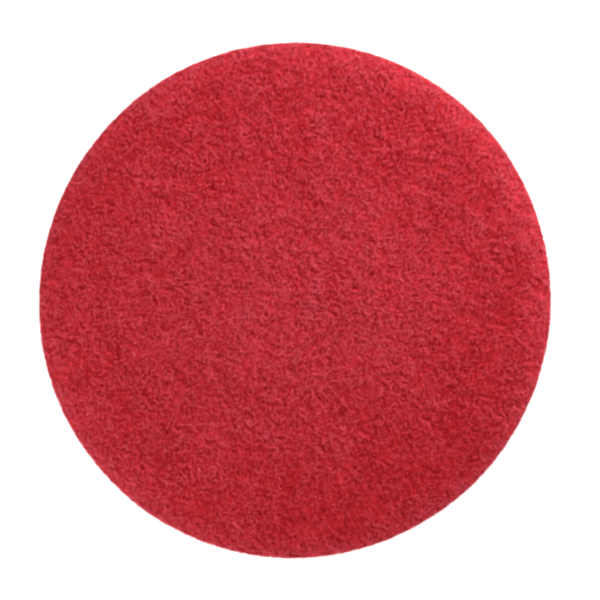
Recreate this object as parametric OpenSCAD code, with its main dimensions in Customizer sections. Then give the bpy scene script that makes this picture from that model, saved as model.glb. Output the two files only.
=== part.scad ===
// Round non-woven floor pad for a rotary floor machine.
// One bonded fibre web, die-cut to a disc. The same stroke cuts a round centre
// plug, held by a few uncut tabs until it is pushed out to fit the centring
// boss of the machine's pad holder.
// Frame: millimetres, +Z up, origin at the centre of the lower face.

/* [Disc] */
// Outside diameter of the pad
pad_diameter = 431.8; // [254:25.4:533.4]
// Thickness between the two flat faces
pad_thickness = 25.4; // [12.7:6.35:31.75]

/* [Rim] */
// Width of the band at the rim where each face falls away
shoulder_width = 26; // [10:1:40]
// How far each face has fallen at the rim
shoulder_drop = 4.5; // [1:0.5:5]

/* [Centre plug] */
// Diameter of the hole that is left when the plug is out
hole_diameter = 82.55; // [50.8:0.05:130]
// Width of the knife slit around the plug
slit_width = 0.3; // [0.2:0.05:1]
// Number of tabs that hold the plug
tab_count = 4; // [2:1:8]
// Width of one tab, along the slit
tab_width = 3; // [1:0.5:6]
// Length of a tab's root inside the plug, which joins the two firmly
tab_root = 2; // [1:0.5:5]
// Angle of the first tab from +X
first_tab_angle = 45; // [0:5:180]
// Radial gap that a torn tab leaves
tab_gap = 0.05; // [0.02:0.01:0.1]

/* [Hidden] */
$fn = 180;
web_red = [0.72, 0.18, 0.21];
hole_radius = hole_diameter / 2;
plug_radius = hole_radius - slit_width;
// Radius at which the flat faces end and the shoulders start
flat_radius = pad_diameter / 2 - shoulder_width;
// Shoulder arc: tangent to the face, fallen by shoulder_drop at the rim
arc_radius = (pow(shoulder_width, 2) + pow(shoulder_drop, 2)) / (2 * shoulder_drop);

// Half section of the rim band: a rectangle trimmed by an arc above and below
module rim_section() {
    intersection() {
        translate([flat_radius, 0]) square([shoulder_width, pad_thickness]);
        // Centres of the upper arc, then the lower arc
        for_upper = pad_thickness - arc_radius;
        translate([flat_radius, for_upper]) circle(r = arc_radius);
        translate([flat_radius, arc_radius]) circle(r = arc_radius);
    }
}

// Half section of the whole ring, from the hole to the rim
module ring_section() {
    union() {
        translate([hole_radius, 0]) square([flat_radius - hole_radius, pad_thickness]);
        rim_section();
    }
}

// One tab: a full-thickness bridge from inside the plug across the slit
module tab(angle) {
    rotate([0, 0, angle])
        translate([plug_radius - tab_root, -tab_width / 2, 0])
            cube([tab_root + slit_width, tab_width, pad_thickness]);
}

// The disc of web with its round centre hole
module pad_ring() {
    color(web_red) rotate_extrude() ring_section();
}

// The plug of the same web, with its tabs stopping tab_gap short of the ring
module centre_plug() {
    color(web_red) union() {
        cylinder(r = plug_radius, h = pad_thickness);
        intersection() {
            cylinder(r = hole_radius - tab_gap, h = pad_thickness);
            for (i = [0 : tab_count - 1]) tab(i * 360 / tab_count + first_tab_angle);
        }
    }
}

pad_ring();
centre_plug();
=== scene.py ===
"""Looks for the round non-woven floor pad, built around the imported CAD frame.

The pad lies flat, centred on the Z axis, its lower face at z = 0. It is an open
web of crimped fibres bonded with resin. Each CAD solid (the ring, and the plug
in its centre hole) is replaced by a porous core that fills its space and by
thousands of tube fibres. They lie in the plane of both faces, follow the rounded
rim shoulders, and are cut off at the rim, at the centre hole and round the plug.
All lengths are in millimetres until a mesh is written; the stage is in metres.
"""

import bpy
import math
import numpy as np
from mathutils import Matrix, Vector


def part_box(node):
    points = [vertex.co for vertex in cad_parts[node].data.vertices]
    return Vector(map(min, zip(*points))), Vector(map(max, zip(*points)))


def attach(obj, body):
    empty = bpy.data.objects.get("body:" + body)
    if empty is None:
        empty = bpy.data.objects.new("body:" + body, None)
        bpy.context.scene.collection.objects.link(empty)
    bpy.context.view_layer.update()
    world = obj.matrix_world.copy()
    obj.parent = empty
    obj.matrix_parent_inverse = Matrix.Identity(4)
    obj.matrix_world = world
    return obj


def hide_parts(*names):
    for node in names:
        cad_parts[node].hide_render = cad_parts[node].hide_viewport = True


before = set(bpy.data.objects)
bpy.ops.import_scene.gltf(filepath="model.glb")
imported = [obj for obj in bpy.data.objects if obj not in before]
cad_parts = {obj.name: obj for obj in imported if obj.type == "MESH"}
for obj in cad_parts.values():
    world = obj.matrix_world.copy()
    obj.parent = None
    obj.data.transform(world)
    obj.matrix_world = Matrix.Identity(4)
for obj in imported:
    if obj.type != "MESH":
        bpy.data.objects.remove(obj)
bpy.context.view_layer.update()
MM = 0.001
TURN = 2 * math.pi
rng = np.random.default_rng(20)          # every fibre is drawn from this, in build order


# ---------------------------------------------------------------- CAD sizes
def node_points(name):
    """Vertices of a CAD piece, in millimetres."""
    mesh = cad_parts[name].data
    points = np.zeros(len(mesh.vertices) * 3, np.float32)
    mesh.vertices.foreach_get("co", points)
    return points.reshape(-1, 3).astype(float) / MM


ring_points = node_points("pad_ring")
ring_radii = np.hypot(ring_points[:, 0], ring_points[:, 1])
THICK = ring_points[:, 2].max()
MIDDLE = THICK / 2                                   # height of the middle plane
PAD_R = ring_radii.max()                             # rim radius
HOLE_R = ring_radii.min()                            # centre hole radius
PLUG_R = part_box("centre_plug")[1].x / MM
FLAT_R = ring_radii[ring_points[:, 2] > THICK - 0.01].max()   # where the shoulder starts
RIM_DROP = THICK - ring_points[ring_radii > PAD_R - 0.05, 2].max()  # fall of the face at the rim
SHOULDER = PAD_R - FLAT_R
ARC_R = (SHOULDER ** 2 + RIM_DROP ** 2) / (2 * RIM_DROP)      # shoulder's radius in section
SLIT_R = (HOLE_R + PLUG_R) / 2                       # middle of the slit round the plug
LIP = (HOLE_R - PLUG_R) / 3                          # how far the web closes over it, each side

# ---------------------------------------------------------------- web settings
CAD_NODE = {"pad": "pad_ring", "plug": "centre_plug"}         # the solid each body replaces
WEB_SEED = {"upper": 1, "lower": 11}     # texture fields of each face
WALL_SEED = WEB_SEED["upper"]            # upright walls share the upper face's fields
CORE_DEPTH = 2.5                         # core surface below the face
RELIEF = 0.46                            # height of clumps over pores
SWELL = 0.38                             # height of the slow swell
GATHER = 0.20                            # how far fibres are drawn on to the clumps
WALL_RELIEF = 0.45                       # height of clumps over pores in the cut walls
LONG_CRIMP = (4.4, 8.0)                  # wavelengths of a fibre's main bends
SHORT_CRIMP = (2.8, 4.0)                 # wavelengths of its finer bends
CUT_RADIUS = (0.13, 0.21)                # fibre radii in the upright walls

# Out-of-round rim: waves per turn, height as a share of the radius, phase
RIM_WAVES = (
    (2, 0.0052, -2 * math.radians(67)),
    (3, 0.0008, 1.1),
    (5, 0.0006, 2.3),
    (9, 0.0004, 0.4),
)
# Noise layers of the web: cell size, height
CLOUD_LAYERS = ((24, 0.45), (10.5, 0.60))
PORE_LAYERS = ((1.85, 1.52), (3.7, 0.34), (6.8, 0.14))

# Painted light and shade over the pad: share of the rim radius, tone added
RADIAL_PAINTED_LIGHT = (
    (0, 0.15), (0.10, 0.14), (0.31, 0.09), (0.62, -0.11), (0.84, -0.21),
    (0.92, -0.07), (0.95, 0.06), (0.975, 0.50), (1.0, 1.0),
)

# Fibre layers: length, depth below the face, tube radius, each from and to
LAYERS = {
    "face": dict(length=(15, 25), depths=(0.35, 1.15), radii=(0.12, 0.20)),
    "deep": dict(length=(13, 21), depths=(1.3, 2.5), radii=(0.16, 0.24)),
}
# Webs: side, layer, fibres per square mm, points along a fibre, pieces of the ring
WEBS = (
    ("upper", "face", 0.086, 23, 10),
    ("upper", "deep", 0.060, 16, 5),
    ("lower", "face", 0.043, 19, 5),
    ("lower", "deep", 0.026, 14, 3),
)


# ---------------------------------------------------------------- shape laws
def smoothstep(t):
    return t * t * (3 - 2 * t)


def outline(angle):
    """Rim radius of the slightly out-of-round pad at each angle."""
    return PAD_R * (1 + sum(height * np.cos(count * angle + phase)
                            for count, height, phase in RIM_WAVES))


def circle(radius):
    """A round wall, as a radius law like outline."""
    return lambda angle: np.full(np.shape(angle), float(radius))


def face_drop(radius, angle):
    """How far each face lies below its flat level."""
    past = np.clip(radius - (outline(angle) - SHOULDER), 0, SHOULDER)
    return ARC_R - np.sqrt(ARC_R ** 2 - past ** 2)


_lattices = {}


def noise(x, y, cell, seed):
    """Smooth value noise from -1 to 1 with features about one cell wide."""
    if seed not in _lattices:
        _lattices[seed] = np.random.default_rng(1000 + seed).random((256, 256)) * 2 - 1
    lattice = _lattices[seed]
    turn = 0.61 * (seed % 7)             # each field's grid lies at its own angle
    u = (x * math.cos(turn) - y * math.sin(turn)) / cell + 31.7
    v = (x * math.sin(turn) + y * math.cos(turn)) / cell + 57.3
    i, j = np.floor(u).astype(int), np.floor(v).astype(int)

    def ease(t):
        return t * t * t * (t * (t * 6 - 15) + 10)

    def corner(row, column):
        return lattice[row % 256, column % 256]

    u_share, v_share = ease(u - i), ease(v - j)
    near = corner(j, i) * (1 - u_share) + corner(j, i + 1) * u_share
    far = corner(j + 1, i) * (1 - u_share) + corner(j + 1, i + 1) * u_share
    return near * (1 - v_share) + far * v_share


def layered(x, y, layers, seed):
    return sum(height * noise(x, y, cell, seed + i) for i, (cell, height) in enumerate(layers))


def cloud(x, y, seed):
    """Slow drift of the web's density, about -1 to 1."""
    return layered(x, y, CLOUD_LAYERS, seed)


def pores(x, y, seed):
    """The open texture of the web: clumps are positive, pores negative."""
    return layered(x, y, PORE_LAYERS, seed + 3)


def relief(x, y, radius, angle, seed):
    """How far the web stands above its mean level: clumps and pores on a slow
    swell, all flatter towards the rim."""
    near_rim = np.clip((radius - (outline(angle) - 18)) / 16, 0, 1)
    press = 1 - 0.45 * smoothstep(near_rim)
    return press * (RELIEF * pores(x, y, seed) + SWELL * cloud(x, y, seed))


def wall_plan(base, angle, z):
    """Plan point that an upright wall's point maps to when the wall is folded out
    flat, so the wall takes its clumps from the same fields as the face. The
    height counts 1.6 times: the web is laid in flat layers."""
    folded = base + 1.6 * (THICK - z)
    return folded * np.cos(angle), folded * np.sin(angle)


def drift(radius, angle):
    """Slow painted light and shade in the tone: paler in the middle and at the thin rim, deeper
    in a broad arc on one side, and paler or deeper in two short arcs near the rim."""
    share = radius / outline(angle)

    def facing(degrees, power):
        return np.clip(np.cos(angle - math.radians(degrees)), 0, 1) ** power

    outer_half = smoothstep(np.clip((share - 0.35) / 0.5, 0, 1))
    edge_band = smoothstep(np.clip((share - 0.80) / 0.15, 0, 1))
    # painted light in a short arc near the rim at 350 degrees, painted shade in one at 168
    # degrees
    edge = 0.18 * facing(350, 4) - 0.20 * facing(168, 8)
    # painted light in the middle and at the rim, painted shade in the ring between and in the
    # broad arc at 296 degrees
    return (np.interp(share, *zip(*RADIAL_PAINTED_LIGHT))
            - 0.42 * outer_half * facing(296, 1.5) + edge * edge_band)


# ---------------------------------------------------------------- mesh makers
def make_mesh(name, points, quads, tris, uv, tone=None):
    """One smooth mesh object from millimetre points, quads and triangles."""
    mesh = bpy.data.meshes.new(name)
    quad_count, tri_count = len(quads), len(tris)
    mesh.vertices.add(len(points))
    mesh.vertices.foreach_set("co", (points * MM).astype(np.float32).ravel())
    loops = np.concatenate([quads.ravel(), tris.ravel()]).astype(np.int32)
    mesh.loops.add(len(loops))
    mesh.loops.foreach_set("vertex_index", loops)
    starts = np.concatenate([np.arange(quad_count) * 4,
                             quad_count * 4 + np.arange(tri_count) * 3]).astype(np.int32)
    mesh.polygons.add(quad_count + tri_count)
    mesh.polygons.foreach_set("loop_start", starts)
    mesh.update(calc_edges=True)
    mesh.polygons.foreach_set("use_smooth", np.ones(quad_count + tri_count, bool))
    layer = mesh.uv_layers.new(name="OFBake")
    layer.data.foreach_set("uv", uv.astype(np.float32).ravel())
    if tone is not None:
        attribute = mesh.attributes.new("tone", "FLOAT", "POINT")
        attribute.data.foreach_set("value", tone.astype(np.float32))
    mesh.validate()
    obj = bpy.data.objects.new(name, mesh)
    bpy.context.scene.collection.objects.link(obj)
    return obj


def tube_uv(count, k):
    """Each fibre has its own cell in the texture: along it is u, around it is v."""
    grid = int(math.ceil(math.sqrt(count)))
    cell = np.stack([np.arange(count) % grid, np.arange(count) // grid], -1)
    along = np.arange(k) / (k - 1)
    around = np.arange(3) / 3
    u = np.stack([along[:-1], along[:-1], along[1:], along[1:]], -1)[:, None]
    v = np.stack([around, around + 1 / 3, around + 1 / 3, around], -1)[None]
    local = np.stack(np.broadcast_arrays(u, v), -1)
    margin = 0.12
    span = 0.76
    sides = (cell[:, None, None, None] + margin + span * local) / grid
    cap = np.array([[0.0, 0.0], [0.04, 0.0], [0.0, 0.04]])
    caps = ((cell + 0.14) / grid)[:, None] + cap / grid
    return np.concatenate([sides.reshape(-1, 2), caps.reshape(-1, 2), caps.reshape(-1, 2)])


def tube_mesh(name, path, radius, tone):
    """Closed three-sided tubes along path[n, k, 3], radius[n, k], tone[n, k]."""
    count, k, _ = path.shape
    tangent = np.gradient(path, axis=1)
    tangent /= np.linalg.norm(tangent, axis=2, keepdims=True) + 1e-9
    current = np.zeros((count, 3))
    current[:, 2] = 1.0
    current[np.abs(tangent[:, 0, 2]) > 0.9] = (1.0, 0.0, 0.0)     # for steep fibres
    normal = np.empty_like(path)
    for i in range(k):
        ahead = tangent[:, i]
        current = current - (current * ahead).sum(1, keepdims=True) * ahead
        current = current / (np.linalg.norm(current, axis=1, keepdims=True) + 1e-9)
        normal[:, i] = current
    across = np.cross(tangent, normal)
    corners = np.radians([90, 210, 330])
    ring = (normal[:, :, None, :] * np.cos(corners)[None, None, :, None]
            + across[:, :, None, :] * np.sin(corners)[None, None, :, None])
    points = path[:, :, None, :] + ring * radius[:, :, None, None]
    base = (np.arange(count)[:, None, None] * k + np.arange(k - 1)[None, :, None]) * 3
    this = np.arange(3)[None, None, :]
    after = (this + 1) % 3
    quads = np.stack([base + this, base + after, base + 3 + after, base + 3 + this], -1)
    first = np.arange(count)[:, None] * k * 3
    tris = np.concatenate([first + np.array([[2, 1, 0]]),
                           first + (k - 1) * 3 + np.array([[0, 1, 2]])])
    return make_mesh(name, points.reshape(-1, 3), quads.reshape(-1, 4), tris,
                     tube_uv(count, k), np.repeat(tone.reshape(-1), 3))


# ---------------------------------------------------------------- fibre paths
def column(low, high, count):
    """One random number per fibre, as a column."""
    return rng.uniform(low, high, count)[:, None]


def meander(count, k, length, crimp, pull=0.0):
    """Crimped plane paths through the origin: dx, dy [n, k], the arc length, and
    how near each point is to its fibre's end (1). Pull turns paths towards x."""
    lengths = column(*length, count)
    arc = np.linspace(-0.5, 0.5, k)[None, :] * lengths
    heading = rng.uniform(0, TURN, count)
    heading = heading - pull * 0.5 * np.sin(2 * heading)
    bend = rng.normal(0, 0.035, count)[:, None]
    long_wave = column(*LONG_CRIMP, count)
    short_wave = column(*SHORT_CRIMP, count)
    long_swing = crimp * column(0.45, 1.15, count)
    short_swing = crimp * column(0.1, 0.45, count)
    phase = rng.uniform(0, TURN, (4, count, 1))      # only the first two are used
    direction = (heading[:, None] + bend * arc
                 + long_swing * np.sin(TURN * arc / long_wave + phase[0])
                 + short_swing * np.sin(TURN * arc / short_wave + phase[1]))
    step = np.diff(arc, axis=1)
    between = (direction[:, 1:] + direction[:, :-1]) / 2
    start = np.zeros((count, 1))
    x = np.concatenate([start, np.cumsum(np.cos(between) * step, 1)], 1)
    y = np.concatenate([start, np.cumsum(np.sin(between) * step, 1)], 1)
    mid = k // 2
    return (x - x[:, mid:mid + 1], y - y[:, mid:mid + 1], arc, np.abs(2 * arc / lengths))


def resample(path, row, start, end, k):
    """Stretches of the given rows of path, from start to end, as k points each."""
    t = start[:, None] + (end - start)[:, None] * np.linspace(0, 1, k)[None, :]
    i = np.clip(np.floor(t).astype(int), 0, path.shape[1] - 2)
    share = (t - i)[..., None]
    row = row[:, None]
    return path[row, i] * (1 - share) + path[row, i + 1] * share


def trim(path, ok, k):
    """Keeps each path's stretch of ok points round its middle, resampled to k."""
    size = ok.shape[1]
    mid = size // 2
    left = ok[:, :mid + 1][:, ::-1]
    right = ok[:, mid:]
    left_run = np.where(left.all(1), mid, np.argmin(left, 1) - 1)
    right_run = np.where(right.all(1), size - 1 - mid, np.argmin(right, 1) - 1)
    row = np.nonzero(ok[:, mid] & (left_run + right_run >= 4))[0]
    return resample(path, row, (mid - left_run)[row].astype(float),
                    (mid + right_run)[row].astype(float), k)


def runs(path, ok, k):
    """Every stretch of at least three ok points of each path, resampled to k."""
    count, size = ok.shape
    padded = np.zeros((count, size + 2), int)
    padded[:, 1:-1] = ok
    change = np.diff(padded, axis=1)
    row, start = np.nonzero(change == 1)
    end = np.nonzero(change == -1)[1] - 1
    keep = end - start >= 2
    # the cut falls between two points
    start = np.maximum(start[keep].astype(float) - 0.47, 0)
    end = np.minimum(end[keep].astype(float) + 0.47, size - 1)
    return resample(path, row[keep], start, end, k)


def taper(k):
    """Share of the tube radius along a fibre, a little thinner at both ends."""
    return 1 - 0.35 * np.linspace(-1, 1, k)[None, :] ** 8


def beads(shape, swell, chance):
    """Radius factor: resin gathers in beads here and there along a fibre."""
    return 1 + swell * (rng.random(shape) < chance)


def soft_floor(depth, least):
    """Depths eased so that they stay under the surface by at least this much."""
    return least + np.logaddexp(0, (depth - least) * 4) / 4


def face_web(side, per_mm2, k, length, depths, radii):
    """All fibres of one layer, as one web, then cut at the rim and round the
    plug, so the same fibres go on across the plug's slit. Returns the ring's and
    the plug's fibres, each as paths, radii and tones."""
    seed = WEB_SEED[side]
    reach = PAD_R + 6
    count = int(math.pi * reach ** 2 * per_mm2)
    centre_r = reach * np.sqrt(rng.uniform(0, 1, count))
    azimuth = rng.uniform(0, TURN, count)
    dx, dy, arc, end = meander(count, k, length, crimp=1.8)
    x = (centre_r * np.cos(azimuth))[:, None] + dx
    y = (centre_r * np.sin(azimuth))[:, None] + dy
    # fibres gather on the clumps and leave the pores open
    h = 0.35
    slope_x = (pores(x + h, y, seed) - pores(x - h, y, seed)) / (2 * h)
    slope_y = (pores(x, y + h, seed) - pores(x, y - h, seed)) / (2 * h)
    x = x + GATHER * slope_x
    y = y + GATHER * slope_y
    radius = np.hypot(x, y)
    angle = np.arctan2(y, x)

    level = depths[0] + (depths[1] - depths[0]) * rng.beta(1.1, 1.4, count)[:, None]
    wave = column(2.7, 5.2, count)
    swing = column(0.2, 0.6, count)
    depth = level + swing * np.sin(TURN * arc / wave + rng.uniform(0, 6.28, (count, 1)))
    depth = depth + 1.4 * end ** 5 - relief(x, y, radius, angle, seed)  # ends dip in
    z = THICK - face_drop(radius, angle) - soft_floor(depth, 0.2)
    if side == "lower":
        z = THICK - z

    shade = column(0, 1, count)
    # the pores term is painted shade on the fibres over the pores and painted light on those on
    # the clumps; the cloud and per-fibre terms are the web's own differences of tone
    tone = 0.5 + 0.10 * (shade - 0.5) + 0.53 * pores(x, y, seed) + 0.30 * cloud(x, y, seed)
    # painted light and shade over the pad, by radius and angle
    tone = tone + drift(radius, angle)
    bead = beads(radius.shape, 0.80, 0.12)
    tube = column(*radii, count) * bead
    data = np.stack([x, y, z, tone, tube], -1)
    rim = outline(angle) + column(-0.8, -0.3, count)
    slit = SLIT_R + rng.normal(0, 0.65, count)[:, None].clip(-1.3, 1.3)
    result = []
    for mask in ((radius < rim) & (radius >= slit), radius < slit):
        cut = runs(data, mask, k)
        result.append((cut[..., :3], cut[..., 4] * taper(k), cut[..., 3]))
    return result


def wall_fibres(count, radius_of, facing, margin):
    """Cut fibres that show in an upright wall, up to a margin from both faces.
    Facing +1 is a wall that faces out, -1 one that faces in."""
    k = 18
    z_lo, z_hi = margin, THICK - margin
    azimuth = rng.uniform(0, TURN, count)
    centre_z = rng.uniform(z_lo, z_hi, count)
    dx, dy, arc, end = meander(count, k, length=(10, 20), crimp=1.35, pull=0.9)
    angle = azimuth[:, None] + dx / radius_of(azimuth)[:, None]
    z = centre_z[:, None] + dy * 0.75
    base = radius_of(angle)
    u, v = wall_plan(base, angle, z)
    lumps = pores(u, v, WALL_SEED)

    level = 0.25 + 1.5 * rng.beta(1.1, 1.5, count)[:, None]
    swing = column(0.2, 0.7, count)
    wave = column(3.2, 6.5, count)
    depth = level + swing * np.sin(TURN * arc / wave + rng.uniform(0, 6.28, (count, 1)))
    # half the fibres are cut through, so an end stands at the wall
    cut = (rng.random(count) < 0.5)[:, None]
    depth = depth + np.where(cut, 1.2 * end ** 3 * np.sign(arc), 1.2 * end ** 4)
    depth = soft_floor(depth - WALL_RELIEF * lumps, 0.15)
    radius = base + facing * (0.2 - depth)
    edge = face_drop(radius, angle) + 0.15
    ok = (z > np.maximum(z_lo - 1.2, edge)) & (z < np.minimum(z_hi + 1.2, THICK - edge))

    shade = column(0, 1, count)
    # the lumps term is painted shade on the fibres over the pores and painted light on those on
    # the clumps; the cloud and per-fibre terms are the web's own differences of tone
    tone = 0.38 + 0.16 * (shade - 0.5) + 0.34 * lumps + 0.30 * cloud(u, v, WALL_SEED)
    data = trim(np.stack([radius * np.cos(angle), radius * np.sin(angle), z, tone], -1), ok, k)
    bead = beads(data.shape[:2], 0.75, 0.10)
    tube = column(*CUT_RADIUS, len(data))
    return data[..., :3], tube * taper(k) * bead, data[..., 3]


def stubs(count, radius_of, facing, margin, azimuths=(0, TURN)):
    """Short cut ends that point out of an upright wall."""
    k = 5
    azimuth = column(*azimuths, count)
    z = column(margin, THICK - margin, count)
    length = column(1.6, 3.4, count)
    t = np.linspace(0, 1, k)[None, :]
    radius = radius_of(azimuth) - facing * (0.05 + column(0, 0.5, count) + length * (1 - t))
    sway = rng.normal(0, 0.8, count)[:, None] * t ** 2
    lift = rng.normal(0, 0.7, count)[:, None] * t ** 1.5
    angle = azimuth + sway / np.abs(radius)
    path = np.stack([radius * np.cos(angle), radius * np.sin(angle), z + lift], -1)
    tube = np.repeat(column(*CUT_RADIUS, count), k, 1)
    return path, tube, np.repeat(column(0.2, 1, count), k, 1)


# ---------------------------------------------------------------- materials
def node(tree, kind, inputs=None, **settings):
    """A shader node. Inputs take a value, or another node's socket to link."""
    made = tree.nodes.new("ShaderNode" + kind)
    for name, value in settings.items():
        setattr(made, name, value)
    for socket, value in (inputs or {}).items():
        if isinstance(value, bpy.types.NodeSocket):
            tree.links.new(value, made.inputs[socket])
        else:
            made.inputs[socket].default_value = value
    return made


def new_material(name):
    """An empty material, its node tree and its surface socket."""
    mat = bpy.data.materials.new(name)
    mat.use_nodes = True
    mat.node_tree.nodes.clear()
    output = node(mat.node_tree, "OutputMaterial")
    return mat, mat.node_tree, output.inputs["Surface"]


def noise_node(tree, coords, scale, detail, distortion=0.0):
    return node(tree, "TexNoise", {"Vector": coords.outputs["Object"], "Scale": scale,
                                   "Detail": detail, "Distortion": distortion})


def multiply_add(tree, value, factor, addend):
    return node(tree, "Math", {0: value, 1: factor, 2: addend},
                operation="MULTIPLY_ADD").outputs[0]


def color_ramp(tree, value, dark, pale, start=0.0):
    """Colour from dark at the start position to pale at 1."""
    ramp = node(tree, "ValToRGB", {"Fac": value})
    low, high = ramp.color_ramp.elements
    low.position, low.color = start, dark
    high.position, high.color = 1.0, pale
    return ramp.outputs["Color"]


def fibre_material():
    """Red fibre coated with resin: tone differs fibre by fibre and drifts along
    each one, and paler fibre is glossier."""
    mat, tree, surface = new_material("red_fibre")
    coords = node(tree, "TexCoord")
    tone = node(tree, "Attribute", attribute_name="tone")
    fine = noise_node(tree, coords, scale=340, detail=3)
    broad = noise_node(tree, coords, scale=38, detail=2)
    mixed = multiply_add(tree, fine.outputs["Fac"], 0.65, tone.outputs["Fac"])
    mixed = multiply_add(tree, broad.outputs["Fac"], 0.35, mixed)
    level = node(tree, "MapRange", {"From Min": 0.30, "From Max": 1.70,
                                    "Value": mixed}).outputs[0]
    # the pale end is pinker as well as paler: partly the fibre's own colour, partly a painted
    # sheen standing in for the whitish glint on lit fibres
    color = color_ramp(tree, level, dark=(0.77, 0.004, 0.018, 1),
                       pale=(0.96, 0.083, 0.131, 1))
    rough = node(tree, "MapRange", {"To Min": 0.58, "To Max": 0.30, "Value": level})
    bsdf = node(tree, "BsdfPrincipled", {
        "Base Color": color, "Roughness": rough.outputs[0], "IOR": 1.50})
    tree.links.new(bsdf.outputs["BSDF"], surface)
    return mat


def core_material():
    """The web below the surface: the same fibres in shade, drawn as curling ridges with pores
    between them, in colour, roughness and bump. The colour follows the bump's height, so the
    pores are painted darker: painted shade."""
    mat, tree, surface = new_material("red_web_core")
    coords = node(tree, "TexCoord")

    def ridge(scale, distortion):
        """Thin curling lines, where a noise is near its middle."""
        field = noise_node(tree, coords, scale, 1.0, distortion)
        offset = node(tree, "Math", {0: field.outputs["Fac"], 1: 0.5}, operation="SUBTRACT")
        away = node(tree, "Math", {0: offset.outputs[0]}, operation="ABSOLUTE")
        return node(tree, "MapRange", {"From Min": 0.0, "From Max": 0.09, "To Min": 1.0,
                                       "To Max": 0.0, "Value": away.outputs[0]}).outputs[0]

    coarse = ridge(scale=330, distortion=1.2)
    fine = ridge(scale=520, distortion=0.8)
    lines = node(tree, "Math", {0: coarse, 1: fine}, operation="MAXIMUM")
    mottle = noise_node(tree, coords, scale=180, detail=3)
    height = multiply_add(tree, lines.outputs[0], 0.7, mottle.outputs["Fac"])
    # painted shade: the colour darkens with the bump height from the ridges into the pores
    color = color_ramp(tree, height, dark=(0.62, 0.003, 0.010, 1),
                       pale=(0.90, 0.020, 0.044, 1), start=0.35)
    rough = node(tree, "MapRange", {"To Min": 0.9, "To Max": 0.55, "Value": height})
    bump = node(tree, "Bump", {"Strength": 0.9, "Distance": 0.0008, "Height": height})
    bsdf = node(tree, "BsdfPrincipled", {
        "Base Color": color, "Roughness": rough.outputs[0], "Normal": bump.outputs["Normal"]})
    tree.links.new(bsdf.outputs["BSDF"], surface)
    return mat


FIBRE = fibre_material()
CORE = core_material()


# ---------------------------------------------------------------- pieces
def place(obj, body, mat):
    obj.data.materials.append(mat)
    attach(obj, body)
    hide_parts(CAD_NODE[body])


def add_core(body, side, rows, spokes):
    """One half of a closed porous core: a pitted face, its walls down to the
    middle plane and a flat back. The plug's closes on the axis. It is built
    face up, and mirrored for the lower side."""
    ring = body == "pad"
    upper = side == "upper"
    seed = WEB_SEED[side]
    angles = np.arange(spokes) / spokes * 2 * math.pi
    if ring:
        inner, outer = HOLE_R - LIP, outline(angles) - 1.2
        share = np.linspace(0, 1, rows)
        wall_scale, wall_inset = 1.0, 0.0
    else:
        inner, outer = 0.0, np.full(spokes, PLUG_R) + LIP
        share = np.linspace(0, 1, rows + 1)[1:]
        wall_scale, wall_inset = 0.4, 0.45

    def row_at(radius, z):
        return np.stack([radius * np.cos(angles), radius * np.sin(angles), z], -1)

    # the face, its pits fading out at both edges
    radius = inner + (outer[None, :] - inner) * share[:, None]
    x, y = radius * np.cos(angles), radius * np.sin(angles)
    drop = face_drop(radius, angles) if ring else 0.0
    pit = relief(x, y, radius, angles, seed) - 0.25 * np.abs(noise(x, y, 2.6, seed + 6))
    fade = np.clip(np.minimum(share, 1 - share)[:, None] * 60, 0.2, 1)
    z = THICK - drop - CORE_DEPTH + pit * fade

    # the walls; their last row, on the middle plane, is smooth
    steps = 6
    outer_wall, inner_wall = [], []
    for i in range(1, steps + 1):
        down = i / steps
        rough = 1 if i < steps else 0
        wall_z = z[-1] * (1 - down) + MIDDLE * down
        plan = wall_plan(outer, angles, wall_z if upper else THICK - wall_z)
        lumps = WALL_RELIEF * pores(*plan, WALL_SEED) * rough
        outer_wall.append(row_at(outer + (lumps - 0.7) * wall_scale - wall_inset, wall_z))
        if ring:
            wall_z = z[0] * (1 - down) + MIDDLE * down
            lumps = noise(angles * 30, wall_z * 3, 4.0, seed + 8) * 0.4 * rough
            inner_wall.insert(0, row_at(inner - (lumps - 0.4) * 0.4 + 0.45, wall_z))
    grid = np.array([*inner_wall, *np.stack([x, y, z], -1), *outer_wall])

    points = grid.reshape(-1, 3)
    this = np.arange(spokes)
    after = (this + 1) % spokes
    start = np.arange(len(grid) - 1)[:, None] * spokes
    quads = np.stack([start + this, start + spokes + this,
                      start + spokes + after, start + after], -1).reshape(-1, 4)
    tris = np.zeros((0, 3), int)
    last = (len(grid) - 1) * spokes
    if ring:
        back = np.stack([last + this, this, after, last + after], -1)
        quads = np.concatenate([quads, back])
    else:
        face_centre, back_centre = len(points), len(points) + 1
        points = np.concatenate([points, [[0, 0, THICK - CORE_DEPTH], [0, 0, MIDDLE]]])
        tris = np.concatenate([
            np.stack([np.full(spokes, face_centre), this, after], -1),
            np.stack([np.full(spokes, back_centre), last + after, last + this], -1)])
    if not upper:
        points[:, 2] = THICK - points[:, 2]
        quads = quads[:, ::-1]
        tris = tris[:, ::-1]

    # texture layout: the face keeps its plan shape, the outer wall unrolls outside
    # it and the hole's wall inside
    reach = PAD_R * 1.2 if ring else PLUG_R * 1.8
    point_r = np.hypot(points[:, 0], points[:, 1])
    point_angle = np.arctan2(points[:, 1], points[:, 0])
    below = np.clip(THICK / 2 - np.abs(points[:, 2] - MIDDLE) - 4, 0, None)
    unrolled = np.where(point_r > (outer.min() + inner) / 2, point_r + below,
                        point_r - below * (1 if ring else 0))
    uv = np.stack([0.5 + 0.5 * unrolled / reach * np.cos(point_angle),
                   0.5 + 0.5 * unrolled / reach * np.sin(point_angle)], -1)
    loops = np.concatenate([quads.ravel(), tris.ravel()])
    place(make_mesh(f"{body}_core_{side}", points, quads, tris, uv[loops]), body, CORE)


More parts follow.
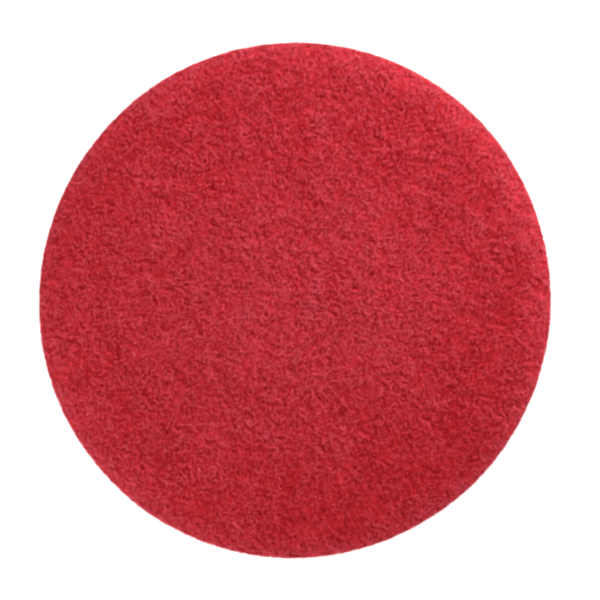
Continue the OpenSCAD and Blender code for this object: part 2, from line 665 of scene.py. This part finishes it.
def add_fibres(name, body, fibres, pieces=1):
    """Tube objects, split into pieces by the angle of each fibre's middle point."""
    path, radius, tone = fibres
    mid = path[:, path.shape[1] // 2]
    turn = (np.arctan2(mid[:, 1], mid[:, 0]) + math.pi) / (2 * math.pi)
    sector = np.floor(turn * pieces).astype(int) % pieces
    for i in range(pieces):
        inside = sector == i
        piece = f"{name}_{i + 1:02d}" if pieces > 1 else name
        place(tube_mesh(piece, path[inside], radius[inside], tone[inside]), body, FIBRE)


# ---------------------------------------------------------------- the pad
for body, rows, spokes in (("pad", 88, 960), ("plug", 28, 180)):
    for side in ("upper", "lower"):
        add_core(body, side, rows, spokes)

for side, layer, per_mm2, k, pieces in WEBS:
    on_ring, on_plug = face_web(side, per_mm2, k, **LAYERS[layer])
    add_fibres(f"pad_{side}_{layer}_fibres", "pad", on_ring, pieces)
    add_fibres(f"plug_{side}_{layer}_fibres", "plug", on_plug)

hole_wall = circle(HOLE_R)
plug_wall = circle(PLUG_R)
add_fibres("pad_rim_fibres", "pad",
           wall_fibres(5600, outline, facing=1, margin=RIM_DROP - 0.3), pieces=4)
add_fibres("pad_rim_cut_ends", "pad", stubs(4600, outline, facing=1, margin=RIM_DROP))
add_fibres("pad_hole_fibres", "pad", wall_fibres(950, hole_wall, facing=-1, margin=2.5))
add_fibres("plug_wall_fibres", "plug", wall_fibres(950, plug_wall, facing=1, margin=2.5))
add_fibres("plug_cut_ends", "plug", stubs(560, plug_wall, facing=1, margin=1.5))
add_fibres("pad_hole_cut_ends", "pad", stubs(420, hole_wall, facing=-1, margin=1.5))

# the four uncut tabs: short tufts across the slit that go with the plug
TAB_HALF_ANGLE = 0.034
tufts = [stubs(60, hole_wall, facing=1, margin=1.0,
               azimuths=(middle - TAB_HALF_ANGLE, middle + TAB_HALF_ANGLE))
         for middle in np.radians([45, 135, 225, 315])]
add_fibres("plug_tab_fibres", "plug", [np.concatenate(parts) for parts in zip(*tufts)])


# ---------------------------------------------------------------- stage (metres)
def floor_material():
    """Pale floor that glows beyond the rim and under the hole, and not under the
    ring between them."""
    glow_strength = 0.82
    mat, tree, surface = new_material("pale_floor")
    diffuse = node(tree, "BsdfDiffuse", {"Color": (0.55, 0.55, 0.55, 1)})
    # this strength stands only while the glow below is not linked
    emission = node(tree, "Emission", {"Color": (1, 1, 1, 1), "Strength": 0.72})
    position = node(tree, "NewGeometry").outputs["Position"]
    from_axis = node(tree, "VectorMath", {0: position}, operation="LENGTH").outputs["Value"]
    rim_glow = node(tree, "MapRange", {
        "From Min": (PAD_R - 14) * MM, "From Max": (PAD_R - 2) * MM,
        "To Max": glow_strength, "Value": from_axis})
    hole_glow = node(tree, "MapRange", {
        "From Min": (HOLE_R + 1.5) * MM, "From Max": (HOLE_R + 4.0) * MM,
        "To Min": glow_strength, "To Max": 0.0, "Value": from_axis})
    glow = node(tree, "Math", {0: rim_glow.outputs[0], 1: hole_glow.outputs[0]},
                operation="MAXIMUM")
    tree.links.new(glow.outputs[0], emission.inputs["Strength"])
    both = node(tree, "AddShader", {0: diffuse.outputs[0], 1: emission.outputs[0]})
    tree.links.new(both.outputs[0], surface)
    return mat


def add_floor():
    half = 30.0
    mesh = bpy.data.meshes.new("floor")
    mesh.from_pydata([(-half, -half, 0), (half, -half, 0), (half, half, 0), (-half, half, 0)],
                     [], [(0, 1, 2, 3)])
    floor = bpy.data.objects.new("floor", mesh)
    bpy.context.scene.collection.objects.link(floor)
    floor.location.z = -0.0002           # just clear of the pad's lower face
    mesh.materials.append(floor_material())


def set_world(light_strength, backdrop_strength):
    """White surroundings, dimmer as a light than as the backdrop."""
    scene = bpy.context.scene
    if scene.world is None:
        scene.world = bpy.data.worlds.new("studio")
    scene.world.use_nodes = True
    tree = scene.world.node_tree
    background = tree.nodes.get("Background") or node(tree, "Background")
    background.inputs["Color"].default_value = (1, 1, 1, 1)
    seen = node(tree, "LightPath").outputs["Is Camera Ray"]
    sky = node(tree, "MapRange", {"To Min": light_strength, "To Max": backdrop_strength,
                                  "Value": seen})
    tree.links.new(sky.outputs[0], background.inputs["Strength"])


LAMP_DISTANCE = 1.3
LAMP_SIZE = 0.7
LAMP_TARGET = (0, 0, 0.02)


def add_lamp(name, azimuth, elevation, watts):
    """Soft square lamp. Azimuth is in degrees counter-clockwise from +X."""
    turn, rise = math.radians(azimuth), math.radians(elevation)
    light = bpy.data.lights.new(name, "AREA")
    light.shape = "SQUARE"
    light.size = LAMP_SIZE
    light.energy = watts
    obj = bpy.data.objects.new(name, light)
    bpy.context.scene.collection.objects.link(obj)
    offset = np.array([math.cos(turn) * math.cos(rise), math.sin(turn) * math.cos(rise),
                       math.sin(rise)]) * LAMP_DISTANCE
    obj.location = offset + np.array(LAMP_TARGET)
    obj.rotation_mode = "QUATERNION"
    obj.rotation_quaternion = Vector(-offset).to_track_quat("-Z", "Y")


def add_camera():
    """Camera looking straight down, a little off the pad's axis."""
    height = 1.6                         # above the upper face
    lens_per_metre = 71.736              # lens mm per metre of height: 0.50184 m wide view
    data = bpy.data.cameras.new("camera")
    camera = bpy.data.objects.new("camera", data)
    bpy.context.scene.collection.objects.link(camera)
    data.sensor_width = 36.0
    data.lens = lens_per_metre * height
    data.clip_start, data.clip_end = 0.05, 100
    camera.location = (0.00428, 0.00034, THICK * MM + height)
    camera.rotation_euler = (0, 0, 0)
    # a moderate stop, focused beyond the pad: slightly soft from straight above
    data.dof.use_dof = True
    data.dof.focus_distance = 2.03
    data.dof.aperture_fstop = 13.5
    bpy.context.scene.camera = camera


add_floor()
set_world(light_strength=0.3, backdrop_strength=1.0)
add_lamp("key", azimuth=43, elevation=16.5, watts=18.3)
add_lamp("fill", azimuth=228, elevation=18, watts=13.0)
add_lamp("back", azimuth=80, elevation=30, watts=8.3)

view = bpy.context.scene.view_settings
view.view_transform = "Standard"
view.look = "None"
view.exposure = 0.0
view.gamma = 1.0
add_camera()
